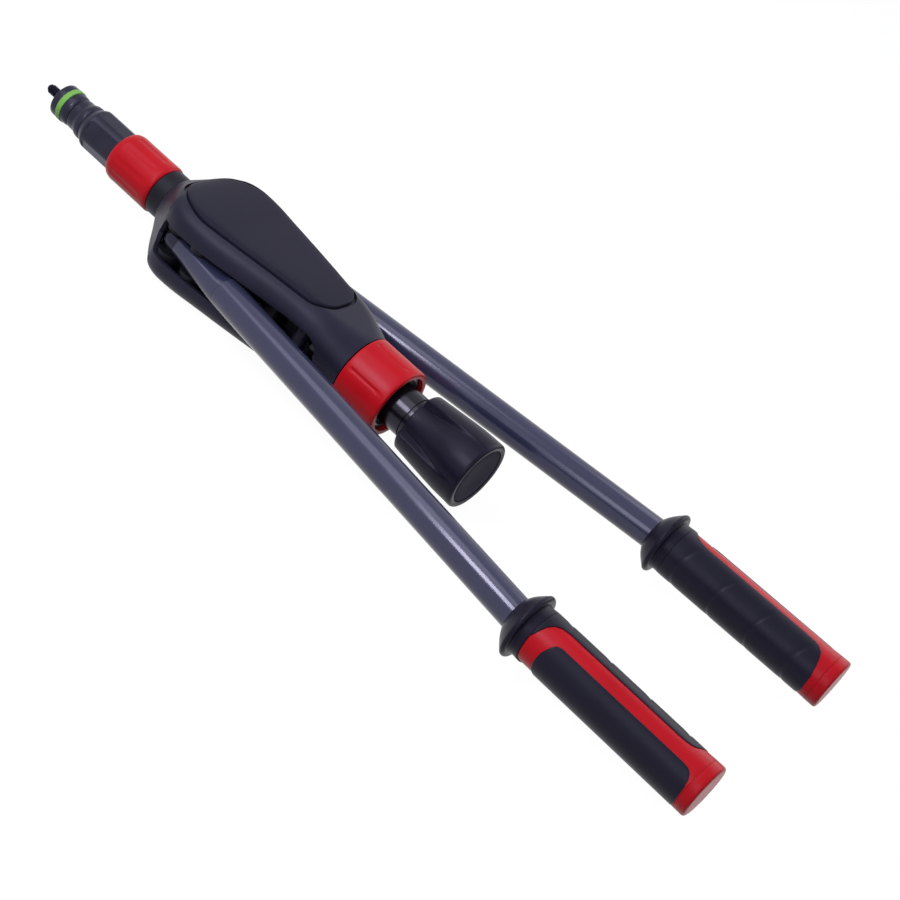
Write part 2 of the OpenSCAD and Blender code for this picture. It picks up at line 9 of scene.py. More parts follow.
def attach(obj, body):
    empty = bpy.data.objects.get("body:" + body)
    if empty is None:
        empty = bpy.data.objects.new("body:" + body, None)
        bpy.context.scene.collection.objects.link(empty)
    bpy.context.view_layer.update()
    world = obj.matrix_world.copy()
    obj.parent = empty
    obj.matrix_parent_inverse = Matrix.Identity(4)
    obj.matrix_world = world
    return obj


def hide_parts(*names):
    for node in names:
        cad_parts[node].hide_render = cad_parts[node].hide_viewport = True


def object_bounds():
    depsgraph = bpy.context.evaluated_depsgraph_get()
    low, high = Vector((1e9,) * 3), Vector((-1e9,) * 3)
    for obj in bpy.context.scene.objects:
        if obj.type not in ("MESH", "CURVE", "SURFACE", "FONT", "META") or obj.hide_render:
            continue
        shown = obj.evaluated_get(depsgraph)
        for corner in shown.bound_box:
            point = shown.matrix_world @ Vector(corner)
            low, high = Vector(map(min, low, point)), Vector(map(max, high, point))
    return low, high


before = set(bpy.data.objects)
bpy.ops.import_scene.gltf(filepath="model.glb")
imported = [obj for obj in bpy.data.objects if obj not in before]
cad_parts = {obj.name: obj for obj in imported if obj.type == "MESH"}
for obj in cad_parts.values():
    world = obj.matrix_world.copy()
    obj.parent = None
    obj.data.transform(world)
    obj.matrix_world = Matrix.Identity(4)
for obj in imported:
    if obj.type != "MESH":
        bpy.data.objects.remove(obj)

cad_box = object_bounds()

# Camera and studio: the photograph's viewing angle, a pale floor under the casing's lower panel and
# soft lamps. The floor and the world are white to the camera and in reflections, and plain light
# to everything else, so that dark plastic keeps its depth.
mm = 0.001
camera_place = Vector((665.06, -865.88, 578.15)) * mm
camera_azimuth, camera_height, camera_roll = (math.radians(a) for a in (21.019, 31.984, 30.883))
picture_px, focal_px = 900, 2030.98
centre_px = (446.93, 451.41)
sensor_width = 36

back = Vector((math.sin(camera_azimuth) * math.cos(camera_height),
               -math.cos(camera_azimuth) * math.cos(camera_height), math.sin(camera_height)))
level = Vector((math.cos(camera_azimuth), math.sin(camera_azimuth), 0))
above = back.cross(level)
right = level * math.cos(camera_roll) + above * math.sin(camera_roll)
up = above * math.cos(camera_roll) - level * math.sin(camera_roll)

camera = bpy.data.objects.new("camera", bpy.data.cameras.new("camera"))
camera.matrix_world = Matrix.Translation(camera_place) @ Matrix((right, up, back)).transposed().to_4x4()
camera.data.sensor_width = sensor_width
camera.data.lens = sensor_width * focal_px / picture_px
camera.data.shift_x = (picture_px / 2 - centre_px[0]) / picture_px
camera.data.shift_y = (centre_px[1] - picture_px / 2) / picture_px
bpy.context.scene.collection.objects.link(camera)
bpy.context.scene.camera = camera
bpy.context.scene.view_settings.view_transform = "Standard"


def seen(nodes, links):
    """1 for rays from the camera, off gloss or through glass, and 0 for light on surfaces."""
    path = nodes.new("ShaderNodeLightPath")
    total = path.outputs["Is Camera Ray"]
    for ray in ("Is Glossy Ray", "Is Transmission Ray"):
        larger = nodes.new("ShaderNodeMath")
        larger.operation = "MAXIMUM"
        links.new(total, larger.inputs[0])
        links.new(path.outputs[ray], larger.inputs[1])
        total = larger.outputs[0]
    return total


world = bpy.data.worlds.new("studio")
bpy.context.scene.world = world
world.use_nodes = True
nodes, links = world.node_tree.nodes, world.node_tree.links
room_light = 0.34
lit = nodes["Background"]
lit.inputs["Color"].default_value = (0.93, 0.95, 1.0, 1)
lit.inputs["Strength"].default_value = room_light
white = nodes.new("ShaderNodeBackground")
white.inputs["Color"].default_value = (1, 1, 1, 1)
either = nodes.new("ShaderNodeMixShader")
links.new(seen(nodes, links), either.inputs[0])
links.new(lit.outputs[0], either.inputs[1])
links.new(white.outputs[0], either.inputs[2])
links.new(either.outputs[0], nodes["World Output"].inputs["Surface"])

floor_z = cad_box[0][2]
floor_size = 12
floor_glow, floor_shade = 0.95, 0.1
shape = bmesh.new()
bmesh.ops.create_grid(shape, x_segments=1, y_segments=1, size=floor_size / 2)
bmesh.ops.translate(shape, vec=(0.25, 0, floor_z), verts=shape.verts)
floor_mesh = bpy.data.meshes.new("floor")
shape.to_mesh(floor_mesh)
shape.free()
floor = bpy.data.objects.new("floor", floor_mesh)
bpy.context.scene.collection.objects.link(floor)
pale = bpy.data.materials.new("pale_floor")
pale.use_nodes = True
nodes, links = pale.node_tree.nodes, pale.node_tree.links
nodes.remove(nodes["Principled BSDF"])
matt = nodes.new("ShaderNodeBsdfDiffuse")
matt.inputs["Color"].default_value = (floor_shade, floor_shade, floor_shade, 1)
glow = nodes.new("ShaderNodeEmission")
strength = nodes.new("ShaderNodeMath")
strength.operation = "MULTIPLY"
links.new(seen(nodes, links), strength.inputs[0])
strength.inputs[1].default_value = floor_glow
links.new(strength.outputs[0], glow.inputs["Strength"])
both = nodes.new("ShaderNodeAddShader")
links.new(matt.outputs[0], both.inputs[0])
links.new(glow.outputs[0], both.inputs[1])
links.new(both.outputs[0], nodes["Material Output"].inputs["Surface"])
floor_mesh.materials.append(pale)

# Each lamp: name, place and target in mm, width and length in mm, roll in degrees and power in watts.
lamps = (("key", (-28, -645, 630), (400, -70, 6), 140, 330, 20, 3.2),
         ("soft", (-250, -350, 900), (250, 0, 0), 500, 800, 0, 2.8),
         ("side", (500, -900, 500), (250, 0, 0), 300, 480, 0, 1.6),
         ("back", (500, 700, 600), (250, 0, 0), 600, 960, 0, 2.8))
for name, place, target, width, length, roll, power in lamps:
    lamp = bpy.data.objects.new(name + "_lamp", bpy.data.lights.new(name + "_lamp", "AREA"))
    lamp.data.shape = "RECTANGLE"
    lamp.data.size, lamp.data.size_y = width * mm, length * mm
    lamp.data.energy = power
    aim = (Vector(target) - Vector(place)).to_track_quat("-Z", "Y").to_matrix().to_4x4()
    turned_lamp = aim @ Matrix.Rotation(math.radians(roll), 4, "Z")
    lamp.matrix_world = Matrix.Translation(Vector(place) * mm) @ turned_lamp
    bpy.context.scene.collection.objects.link(lamp)

# Threaded mandrel: the hardened screw that takes the rivet nut. It is turned from black steel with
# an M6 thread, and screws into a coupling on the spindle that runs through the whole tool.
merge_distance = 0.0005
smooth_angle = 35
gloss_tint = (0.80, 0.77, 1.0, 1)


def finish(name, colour, roughness, metal=0.0, grain=0.35, relief=0.03, mottle=0.12, lines=None,
           specular=0.2):
    """A procedural finish: colour and gloss that vary in patches, and a fine grain of a size in mm.
    Lines stretches the grain along X, or round X for a turned piece. Under a metal share of a half
    the gloss is cool."""
    surface = bpy.data.materials.new(name)
    surface.use_nodes = True
    nodes, links = surface.node_tree.nodes, surface.node_tree.links
    shader = nodes["Principled BSDF"]
    shader.inputs["Metallic"].default_value = metal
    shader.inputs["Specular IOR Level"].default_value = specular
    if metal < 0.5:
        shader.inputs["Specular Tint"].default_value = gloss_tint
    place = nodes.new("ShaderNodeTexCoord").outputs["Object"]
    stretched = nodes.new("ShaderNodeMapping")
    stretched.inputs["Scale"].default_value = {None: (1, 1, 1), "along": (0.02, 1, 1),
                                               "round": (1, 0.03, 0.03)}[lines]
    links.new(place, stretched.inputs["Vector"])

    def noise(vector, size, detail):
        pattern = nodes.new("ShaderNodeTexNoise")
        pattern.inputs["Scale"].default_value = 1 / (size * mm)
        pattern.inputs["Detail"].default_value = detail
        links.new(vector, pattern.inputs["Vector"])
        return pattern.outputs["Fac"]

    def spread(value, low, high):
        scaled = nodes.new("ShaderNodeMapRange")
        scaled.inputs["From Min"].default_value = 0.25
        scaled.inputs["From Max"].default_value = 0.75
        scaled.inputs["To Min"].default_value = low
        scaled.inputs["To Max"].default_value = high
        links.new(value, scaled.inputs["Value"])
        return scaled.outputs[0]

    patches = noise(place, 14, 3)
    fine = noise(stretched.outputs[0], grain, 2)
    tone = nodes.new("ShaderNodeMix")
    tone.data_type = "RGBA"
    tone.inputs["A"].default_value = (*(c * (1 - mottle) for c in colour), 1)
    tone.inputs["B"].default_value = (*(min(1, c * (1 + mottle)) for c in colour), 1)
    links.new(spread(patches, 0, 1), tone.inputs["Factor"])
    links.new(tone.outputs["Result"], shader.inputs["Base Color"])
    gloss = nodes.new("ShaderNodeMath")
    links.new(spread(patches, roughness * 0.9, roughness * 1.02), gloss.inputs[0])
    links.new(spread(fine, 0, roughness * 0.16), gloss.inputs[1])
    links.new(gloss.outputs[0], shader.inputs["Roughness"])
    bump = nodes.new("ShaderNodeBump")
    bump.inputs["Strength"].default_value = 1
    bump.inputs["Distance"].default_value = relief * mm
    links.new(fine, bump.inputs["Height"])
    links.new(bump.outputs[0], shader.inputs["Normal"])
    return surface


def turned(outline, steps=96):
    """Spins an outline about X. Its points are (place, radius) or (place, radius, rounding)."""
    shape = bmesh.new()
    points = [shape.verts.new((p[0], 0, p[1])) for p in outline]
    for a, b in zip(points, points[1:]):
        shape.edges.new((a, b))
    if outline[0][1] > 0 and outline[-1][1] > 0:
        shape.edges.new((points[-1], points[0]))
    for point, p in zip(points, outline):
        if len(p) > 2:
            bmesh.ops.bevel(shape, geom=[point], offset=p[2], affect="VERTICES", segments=4,
                            profile=0.5, material=-1)
    bmesh.ops.spin(shape, geom=shape.verts[:] + shape.edges[:], cent=(0, 0, 0), axis=(1, 0, 0),
                   angle=math.tau, steps=steps, use_merge=True)
    return shape


def settle(shape, name, body, slot, surface, *replaced, crease=smooth_angle):
    """Makes a finished piece of a shape in millimetres, and ties it to its body. The slot is not used."""
    bmesh.ops.remove_doubles(shape, verts=shape.verts, dist=merge_distance)
    bmesh.ops.recalc_face_normals(shape, faces=shape.faces)
    bmesh.ops.scale(shape, vec=(mm, mm, mm), verts=shape.verts)
    mesh = bpy.data.meshes.new(name)
    shape.to_mesh(mesh)
    shape.free()
    mesh.shade_smooth()
    mesh.set_sharp_from_angle(angle=math.radians(crease))
    mesh.materials.append(surface)
    piece = bpy.data.objects.new(name, mesh)
    bpy.context.scene.collection.objects.link(piece)
    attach(piece, body)
    if replaced:
        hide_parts(*replaced)
    return piece


def dress(surface, *names):
    """Gives CAD nodes a finish."""
    for name in names:
        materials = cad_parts[name].data.materials
        materials.clear()
        materials.append(surface)


black_steel = finish("black_steel", (0.018, 0.018, 0.034), 0.28, metal=0.3, grain=0.5, relief=0.012,
                     mottle=0.3, lines="round", specular=0.3)
mandrel_r, mandrel_end = 3.0, 78
pitch, thread_depth, thread_from, thread_to = 1.0, 0.62, 0.9, 46
shape = turned([(0, 0), (0, mandrel_r - thread_depth - 0.5), (thread_from, mandrel_r - thread_depth),
                (thread_to, mandrel_r - thread_depth), (thread_to + 1, mandrel_r, 0.2),
                (mandrel_end, mandrel_r), (mandrel_end, 0)], steps=48)
turn_steps = 32
ridge = [shape.verts.new((thread_from + x, 0, r)) for x, r in (
    (0, mandrel_r - thread_depth - 0.1), (pitch * 0.44, mandrel_r), (pitch * 0.56, mandrel_r),
    (pitch, mandrel_r - thread_depth - 0.1))]
flank = shape.faces.new(ridge)
turns = int((thread_to - thread_from) / pitch)
bmesh.ops.spin(shape, geom=[flank, *flank.edges, *ridge], cent=(0, 0, 0), axis=(1, 0, 0),
               dvec=(pitch / turn_steps, 0, 0), angle=math.tau * turns, steps=turn_steps * turns)
settle(shape, "mandrel_screw", "spindle", "black_steel", black_steel, "mandrel")
bare_steel = finish("bare_steel", (0.56, 0.56, 0.58), 0.28, metal=1, grain=0.6, relief=0.008, mottle=0.08,
                    lines="along")
dress(bare_steel, "coupling", "spindle")

# Anvil and size ring: the hard disc that bears on the rivet nut, and the green plastic ring behind
# it that tells the thread size. The ring sits in a neck turned in the anvil.
shape = turned([(12.5, 3.15, 0.4), (12.5, 10.5, 0.9), (17.2, 10.5, 0.3), (17.2, 9.5), (20.9, 9.5),
                (20.9, 10.3, 0.3), (24.6, 10.1, 0.8), (26.5, 9.3, 0.5), (26.5, 7.5), (45, 7.5), (45, 3.15)])
settle(shape, "anvil_disc", "frame", "black_steel", black_steel, "anvil")
ring_green = finish("ring_green", (0.20, 0.46, 0.10), 0.42, grain=0.3, relief=0.02, mottle=0.06)
shape = turned([(17.25, 9.52), (17.25, 10.75, 0.4), (20.85, 10.75, 0.4), (20.85, 9.52)])
settle(shape, "green_size_ring", "frame", "green_ring", ring_green, "size_ring")

# Nose sleeve and lock nut: black steel. The sleeve has six wrench flats, and plugs into the neck
# with a ball groove; the nut locks the anvil at its depth.
shape = turned([(26.6, 7.55), (26.6, 9.4, 0.5), (27.6, 9.9, 0.4), (32, 10, 1.2), (34.4, 11.2, 1.2),
                (37.4, 11.2, 0.4), (37.95, 10.7), (37.95, 7.55)])
settle(shape, "anvil_lock_nut", "frame", "black_steel", black_steel, "nose_lock_nut")
flat_from, flat_to, flat_at, flats, flat_turn = 43.5, 66, 12.2, 6, math.radians(4)
shape = turned([(38, 7.55), (38, 10.9, 0.4), (39.6, 11.6, 0.6), (42, 13, 0.8), (flat_from - 0.3, 13),
                (flat_from + 0.3, 13), (flat_to - 0.3, 13), (flat_to, 13), (67.4, 13), (67.4, 9.5),
                (77.4, 9.5), (78.2, 8.3), (81.8, 8.3), (82.6, 9.5), (84.2, 9.5), (85, 8.8), (85, 6.6),
                (46, 6.6), (46, 7.55)], steps=180)
for vert in shape.verts:
    if flat_from < vert.co.x < flat_to - 0.1 and vert.co.yz.length > flat_at:
        angle = math.atan2(vert.co.y, vert.co.z) + flat_turn
        off = (angle + math.pi / flats) % (math.tau / flats) - math.pi / flats
        reach = min(vert.co.yz.length, flat_at / math.cos(off))
        vert.co.yz = vert.co.yz * (reach / vert.co.yz.length)
settle(shape, "nose_barrel", "frame", "black_steel", black_steel, "nose_sleeve", crease=20)
dress(bare_steel, "locking_balls", "collar_clip")

# Quick-change collar: a ring of red moulded plastic with a cam inside, held on the neck by a clip.
# Turning it presses the balls into the nose sleeve or lets them go. Ten shallow flutes run along it,
# and the blackened neck tube shows behind it.
red_plastic = finish("red_plastic", (0.52, 0.007, 0.014), 0.32, grain=0.3, relief=0.012, mottle=0.05,
                     specular=0.15)


def flute(shape, count, cutter_r, cutter_at, start, end, turn=0.0, runout=2.5):
    """Sinks lengthwise flutes, as a round cutter of that radius and place would, with soft ends."""
    for vert in shape.verts:
        reach = vert.co.yz.length
        if start < vert.co.x < end and reach > cutter_at - cutter_r - 0.5:
            angle = math.atan2(vert.co.y, vert.co.z) + turn
            off = (angle + math.pi / count) % (math.tau / count) - math.pi / count
            inside = cutter_r ** 2 - (cutter_at * math.sin(off)) ** 2
            if inside > 0:
                hit = min(reach, cutter_at * math.cos(off) - math.sqrt(inside))
                depth = min(1, (vert.co.x - start) / runout, (end - vert.co.x) / runout)
                vert.co.yz = vert.co.yz * ((reach + (hit - reach) * depth) / reach)


collar_r = 15.7
flutes, flute_r, flute_depth, flutes_from, flutes_to = 10, 12, 0.32, 71.5, 96.5
shape = turned([(66.5, 13.6), (66.5, 13.7, 0.5), (67.3, 14.9, 1.0), (70.5, collar_r, 1.2), (71.4, collar_r),
                *((x, collar_r) for x in (72.2, 73, 73.9, 94, 95, 96, 96.6)), (100.5, collar_r, 0.8),
                (101.75, 14.7, 0.3), (101.75, 12.45), (70.5, 12.45), (70.5, 13.6)], steps=200)
flute(shape, flutes, flute_r, collar_r + flute_r - flute_depth, flutes_from, flutes_to)
settle(shape, "red_collar", "quick_collar", "red_plastic", red_plastic, "front_collar", crease=28)
dark_steel = finish("dark_steel", (0.010, 0.010, 0.014), 0.42, metal=0.3, grain=0.5, relief=0.01, mottle=0.2)
dress(dark_steel, "neck_tube")

# Casing: two shells of glass-filled nylon, split on the plane of the arms. Each is a smooth form over
# fourteen cross sections with a wall of 2.6 mm, cut back at the sides where the arms swing, with
# screw bosses inside and a shallow recess on its broad face.
casing_black = finish("casing_black", (0.016, 0.015, 0.031), 0.40, grain=0.45, relief=0.03, mottle=0.10,
                      specular=0.18)
# Each section: place, half width, half height and corner radius.
casing_sections = ((112, 15.6, 15.6, 15.4), (118, 21, 19.4, 13), (124, 26.8, 23.3, 10),
                   (129.5, 32, 24.7, 9), (132, 34.3, 25, 9), (136, 36.4, 25.3, 9.5), (143, 38.2, 25.5, 10.5),
                   (156, 38.2, 25.4, 11.5), (168, 36.9, 25, 12), (187, 33.5, 25, 12), (205, 30, 25, 12),
                   (222, 27, 24.8, 12.5), (243, 25, 23.5, 14), (263.5, 21.4, 21.4, 21.2))
casing_top = 25.5
wall, edge_round = 2.6, 0.55
slot_half, slot_front, slot_front_end, slot_back = 10.8, 130.4, 133, 236.5


def eased(share):
    """Runs from 0 to 1 with the share, slow at both ends."""
    return share * share * (3 - 2 * share)


def between(x, rows, column):
    """A smooth curve through one column of rows that start with a place along X."""
    last = len(rows) - 1
    i = max(0, min(last - 1, sum(row[0] <= x for row in rows) - 1))
    (x0, y0), (x1, y1) = ((rows[k][0], rows[k][column]) for k in (i, i + 1))

    def slope(k):
        low, high = rows[max(0, k - 1)], rows[min(last, k + 1)]
        return (high[column] - low[column]) / (high[0] - low[0])

    share, run = (x - x0) / (x1 - x0), x1 - x0
    return ((1 + 2 * share) * (1 - share) ** 2 * y0 + share * (1 - share) ** 2 * run * slope(i)
            + eased(share) * y1 + share * share * (share - 1) * run * slope(i + 1))


def casing_section(x):
    """Half width, half height and corner radius of the casing."""
    half_w, half_h, round_r = (between(x, casing_sections, column) for column in (1, 2, 3))
    return half_w, min(half_h, casing_top), min(round_r, half_w, half_h)


def casing_edge(x):
    """Height of a shell's edge over the plane of the arms."""
    if x < slot_front or x > slot_back + slot_half:
        return 0.0
    if x < slot_front_end:
        return slot_half * eased((x - slot_front) / (slot_front_end - slot_front))
    return slot_half if x < slot_back else math.sqrt(slot_half ** 2 - (x - slot_back) ** 2)


def casing_point(x, across):
    """A point of the upper shell: across runs from -1 at the left edge to 1 at the right edge."""
    half_w, half_h, round_r = casing_section(x)
    side, corner, top = half_h - round_r, math.pi / 2 * round_r, half_w - round_r
    edge = casing_edge(x)
    start = edge if edge < side else side + round_r * math.asin(min(1, (edge - side) / round_r))
    way = start + (1 - abs(across)) * (side + corner + top - start)
    if way < side:
        y, z = half_w, way
    elif way < side + corner:
        turn = (way - side) / round_r
        y, z = half_w - round_r + round_r * math.cos(turn), side + round_r * math.sin(turn)
    else:
        y, z = half_w - round_r - (way - side - corner), half_h
    return Vector((x, math.copysign(y, across), z))


def casing_height(x, y):
    """Height of the upper shell over a point of the plan."""
    half_w, half_h, round_r = casing_section(x)
    out = min(max(0, abs(y) - (half_w - round_r)), round_r)
    return half_h - round_r + math.sqrt(round_r ** 2 - out ** 2)


def arc(x, y, r, start, end, steps):
    """Points of a plan arc, with its angles in degrees from +X towards +Y."""
    angles = (math.radians(start + (end - start) * k / steps) for k in range(steps + 1))
    return [(x + r * math.cos(a), y + r * math.sin(a)) for a in angles]


def worked(shape, *modifiers):
    """The shape with modifiers applied, each given as its kind and its settings."""
    mesh = bpy.data.meshes.new("work")
    shape.to_mesh(mesh)
    shape.free()
    work = bpy.data.objects.new("work", mesh)
    bpy.context.scene.collection.objects.link(work)
    for kind, settings in modifiers:
        modifier = work.modifiers.new(kind, kind)
        for key, value in settings.items():
            setattr(modifier, key, value)
    result = bmesh.new()
    result.from_object(work, bpy.context.evaluated_depsgraph_get())
    bpy.data.objects.remove(work)
    return result


def carved(shape, *cutters):
    """The shape less its cutters, which are closed shapes."""
    tools = []
    for cutter in cutters:
        bmesh.ops.recalc_face_normals(cutter, faces=cutter.faces)
        mesh = bpy.data.meshes.new("cutter")
        cutter.to_mesh(mesh)
        cutter.free()
        tools.append(bpy.data.objects.new("cutter", mesh))
        bpy.context.scene.collection.objects.link(tools[-1])
    result = worked(shape, *(("BOOLEAN", {"operation": "DIFFERENCE", "solver": "EXACT", "object": tool})
                             for tool in tools))
    for tool in tools:
        bpy.data.objects.remove(tool)
    return result


def pad(outline, low, high, edge, steps):
    """A plate of a plan outline from low to high, its upper edge rounded, cut into cells by planes
    at two steps so that it can be bent. An outline point may hold its own rounding as a third number."""
    shape = bmesh.new()
    points = [shape.verts.new((p[0], p[1], low)) for p in outline]
    shape.faces.new(points)
    for point, p in zip(points, outline):
        if len(p) > 2:
            bmesh.ops.bevel(shape, geom=[point], offset=p[2], affect="VERTICES", segments=6, profile=0.5,
                            material=-1)
    base = shape.faces[:]
    raised = bmesh.ops.extrude_face_region(shape, geom=base, use_keep_orig=True)["geom"]
    lifted = [item for item in raised if isinstance(item, bmesh.types.BMVert)]
    bmesh.ops.translate(shape, vec=(0, 0, high - low), verts=lifted)
    rim = [item for item in shape.edges if item.verts[0] in lifted and item.verts[1] in lifted]
    if edge:
        bmesh.ops.bevel(shape, geom=rim, offset=edge, affect="EDGES", segments=4, profile=0.5,
                        material=-1)
    for axis in (0, 1):
        places = [vert.co[axis] for vert in shape.verts]
        count = int((max(places) - min(places)) / steps[axis])
        for k in range(1, count):
            at = min(places) + (max(places) - min(places)) * k / count
            where, normal = Vector(), Vector()
            where[axis], normal[axis] = at, 1
            bmesh.ops.bisect_plane(shape, geom=shape.verts[:] + shape.edges[:] + shape.faces[:],
                                   dist=0.001, plane_co=where, plane_no=normal)
    return shape


def post(x, y, low, high, r, bore=0.0):
    """An upright round post, or a tube where it has a bore."""
    if bore:
        shape = turned([(low, bore), (low, r, 0.4), (high, r), (high, bore)], steps=40)
    else:
        shape = turned([(low, 0), (low, r), (high, r), (high, 0)], steps=40)
    bmesh.ops.rotate(shape, cent=(0, 0, 0), matrix=Matrix.Rotation(-math.pi / 2, 3, "Y"),
                     verts=shape.verts)
    bmesh.ops.translate(shape, vec=(x, y, 0), verts=shape.verts)
    bmesh.ops.remove_doubles(shape, verts=shape.verts, dist=merge_distance)
    return shape


def joined(*shapes):
    """One shape that holds all the shapes."""
    whole = bmesh.new()
    for part in shapes:
        mesh = bpy.data.meshes.new("part")
        part.to_mesh(mesh)
        part.free()
        whole.from_mesh(mesh)
        bpy.data.meshes.remove(mesh)
    return whole


panel_lean = 79.9
panel_recess, panel_gap, panel_proud = 1.8, 1.9, 0.75


def panel_outline(grow):
    """A wide round front, straight sides and a narrower back with round corners."""
    front = arc(152, 0, 31.1 + grow, panel_lean, 360 - panel_lean, 44)
    return (front + arc(222, -4.5, 14.4 + grow, 360 - panel_lean, 360, 14)
            + arc(222, 4.5, 14.4 + grow, 0, panel_lean, 14))


# Stretches of the shells and how many cells each has, finer where the slots start and end.
stretches = ((112, 128, 15), (128, 132, 16), (132, 236, 70), (236, 246, 12), (246, 248.2, 10),
             (248.2, 263.5, 12))
stations = sorted({round(start + (end - start) * k / count, 2)
                   for start, end, count in stretches for k in range(count + 1)})
across_count = 72
# The screws at the front are smaller, because the casing is lower there.
small_screw = {"seat": -10, "head_r": 2.6, "head": 2.4, "bore_end": -12.5, "boss_r": 3.0, "boss": 8}
large_screw = {"seat": -12, "head_r": 3.6, "head": 3, "bore_end": -15, "boss_r": 4.2, "boss": 21}
screws = [(x, side * y, size) for x, y, size in ((120.5, 19, small_screw), (176, 13.5, large_screw),
                                                 (230, 15, large_screw)) for side in (-1, 1)]
head_play, boss_bore, boss_from, well_below = 0.2, 2.1, 0.1, -40

for up, name, node in ((1, "casing_shell_top", "casing_upper"), (-1, "casing_shell_base", "casing_lower")):
    shape = bmesh.new()
    bmesh.ops.create_grid(shape, x_segments=len(stations) - 1, y_segments=across_count, size=1)
    for vert in shape.verts:
        row = round((vert.co.x + 1) / 2 * (len(stations) - 1))
        vert.co = casing_point(stations[row], vert.co.y)
    bmesh.ops.remove_doubles(shape, verts=shape.verts, dist=merge_distance)
    bmesh.ops.recalc_face_normals(shape, faces=shape.faces)
    if max(shape.faces, key=lambda face: face.calc_center_median().z).normal.z < 0:
        bmesh.ops.reverse_faces(shape, faces=shape.faces)
    shape = worked(shape, ("SOLIDIFY", {"thickness": wall, "offset": -1, "use_even_offset": True}),
                   ("BEVEL", {"width": edge_round, "segments": 3, "limit_method": "ANGLE",
                              "angle_limit": math.radians(60)}))
    recess = pad(panel_outline(panel_gap), -panel_recess, 4, 0, (5, 5))
    for vert in recess.verts:
        vert.co.z += casing_height(vert.co.x, vert.co.y)
    shape = carved(shape, recess)
    bmesh.ops.scale(shape, vec=(1, 1, up), verts=shape.verts)
    if up < 0:
        shape = carved(shape, *(post(x, y, well_below, size["bore_end"], size["head_r"] + head_play)
                                for x, y, size in screws))
    posts = [post(x, y, boss_from, size["boss"] * up, size["boss_r"], boss_bore) for x, y, size in screws]
    settle(joined(shape, *posts), name, "frame", "casing", casing_black, node, crease=30)

# Casing screws: six socket screws of black steel, let in from underneath. They draw the two shells
# together at their bosses, and the bottom panel lies over the middle and back pairs.
black_screws = finish("black_screws", (0.015, 0.014, 0.018), 0.35, metal=0.6, grain=0.4, relief=0.008)
socket_r, socket_depth, shank_r, shank_end = 1.55, 1.6, 1.95, 12
shapes = []
for x, y, size in screws:
    seat, head_r = size["seat"], size["head_r"]
    head_end = seat - size["head"]
    shape = turned([(head_end + socket_depth, 0), (head_end + socket_depth, socket_r), (head_end, socket_r),
                    (head_end, head_r, 0.4), (seat, head_r), (seat, shank_r), (shank_end, shank_r, 0.4),
                    (shank_end, 0)], steps=48)
    for vert in shape.verts:
        if vert.co.x < seat and 0 < vert.co.yz.length < socket_r + 0.01:
            off = math.atan2(vert.co.y, vert.co.z) % (math.tau / 6) - math.tau / 12
            vert.co.yz = vert.co.yz * (math.cos(math.tau / 12) / math.cos(off))
    bmesh.ops.rotate(shape, cent=(0, 0, 0), matrix=Matrix.Rotation(-math.pi / 2, 3, "Y"),
                     verts=shape.verts)
    bmesh.ops.translate(shape, vec=(x, y, 0), verts=shape.verts)
    shapes.append(shape)
settle(joined(*shapes), "socket_screws", "frame", "black_steel", black_screws, "casing_screws")

# Inset panels: a crowned plate of the same nylon in a finer finish, pressed into the recess on each
# broad face of the casing, with a narrow gap all round that shows as a dark line.
panel_black = finish("panel_black", (0.014, 0.013, 0.027), 0.46, grain=0.35, relief=0.022, mottle=0.08,
                     specular=0.09)
crown = 0.22
for up, name, node in ((1, "panel_plate_top", "top_panel"), (-1, "panel_plate_base", "bottom_panel")):
    shape = pad(panel_outline(0), -panel_recess + 0.1, panel_proud - crown, 1.2, (3, 3))
    for vert in shape.verts:
        half_w = casing_section(vert.co.x)[0]
        lift = crown * max(0, 1 - (vert.co.y / half_w * 1.2) ** 2)
        vert.co.z += casing_height(vert.co.x, vert.co.y) + lift * (vert.co.z > 0)
    bmesh.ops.scale(shape, vec=(1, 1, up), verts=shape.verts)
    settle(shape, name, "frame", "panel", panel_black, node, crease=40)

# Inside the casing: side plates, pins, washers, links and the draw line, in blackened steel, with the
# bushes and the thrust bearing in bronze. They show only through the side slots, and keep the CAD forms.
bronze = finish("bronze", (0.42, 0.25, 0.09), 0.38, metal=1, grain=0.5, relief=0.01, mottle=0.15)
dress(dark_steel, "upper_plate", "lower_plate", "pivot_pins", "pivot_clips", "pivot_washers", "plate_screws",
      "draw_nut", "left_links", "right_links", "left_link_pin", "right_link_pin",
      "left_head_pin", "right_head_pin", "draw_pins", "ring_clip", "knob_nut", "draw_sleeve",
      "draw_block")
dress(bronze, "front_bush", "rear_bush", "thrust_bearing")

# Arms: a forged eye, flat where it runs between the links, with its tip in black steel as painted shade
# for the dark front of the slot, and a spigot that a painted steel tube is pressed over. The tube
# bends a little towards the tool just before the hand.
arm_paint = finish("arm_paint", (0.032, 0.035, 0.080), 0.18, grain=0.5, relief=0.0015, mottle=0.05,
                   specular=0.55)
pivot_x, pivot_y, flange_x = 140, 27.3, 305
rest_angles = {"left": 7.73, "right": 9.57}
tube_r, tube_bore, tube_from, tube_to = 9.5, 7.6, 46.05, flange_x + 111.4
pin_hole_r, link_hole_r, crank = 4.05, 3.02, 19
# Each row of the eye: place, half width and half thickness.
eye_rows = ((-12, 6.7, 5.6), (0, 6.9, 5.8), (12, 7.4, 6.2), (24, 8.3, 6.95), (40, 9.3, 7.4), (42, 9.4, 7.8),
            (44, 9.47, 8.6), (46.1, 9.5, 25))
paint_from, eye_end, spigot_end = 6, 46, 74
eye_square = 8
bend_r, bend_angle = 60, math.radians(7.5)
bend_from = flange_x - bend_r * math.tan(bend_angle / 2)


